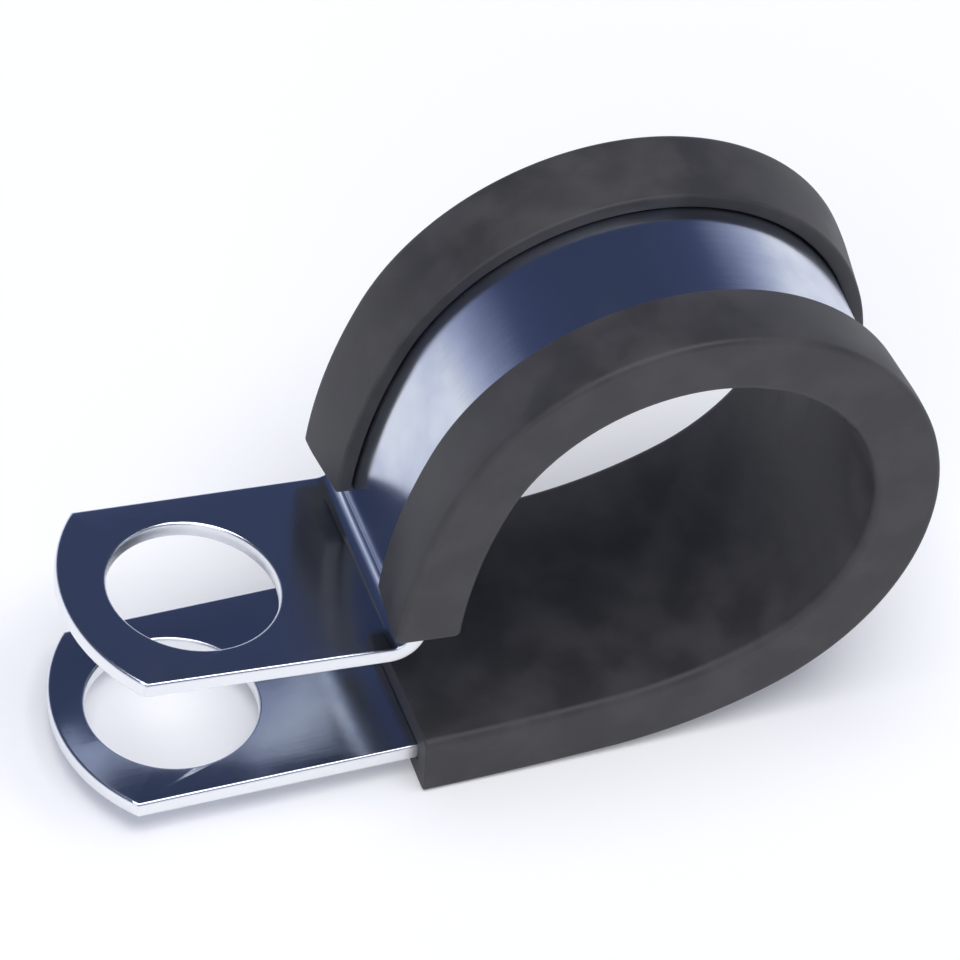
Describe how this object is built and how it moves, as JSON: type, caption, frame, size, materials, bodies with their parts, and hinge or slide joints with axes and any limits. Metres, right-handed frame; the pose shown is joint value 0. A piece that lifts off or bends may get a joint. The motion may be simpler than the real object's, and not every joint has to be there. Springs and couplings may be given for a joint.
{
  "type": "rubber-lined p clip",
  "caption": "Folded steel strip looped round a cable, with two drilled bolt tabs and a lipped rubber channel lining the loop.",
  "frame": {"origin": "on the cable's axis, at the middle of the clip's width", "axes": "+X from the bolt tabs to the loop, +Y along the cable, +Z from the lower tab to the upper tab"},
  "size_m": [0.0422, 0.0144, 0.0275],
  "materials": {
    "zinc_steel": "bright zinc plating, almost mirror smooth",
    "lining_rubber": "satin moulded rubber"
  },
  "bodies": {
    "root": {"band": "zinc_steel", "lining": "lining_rubber"}
  },
  "joints": []
}
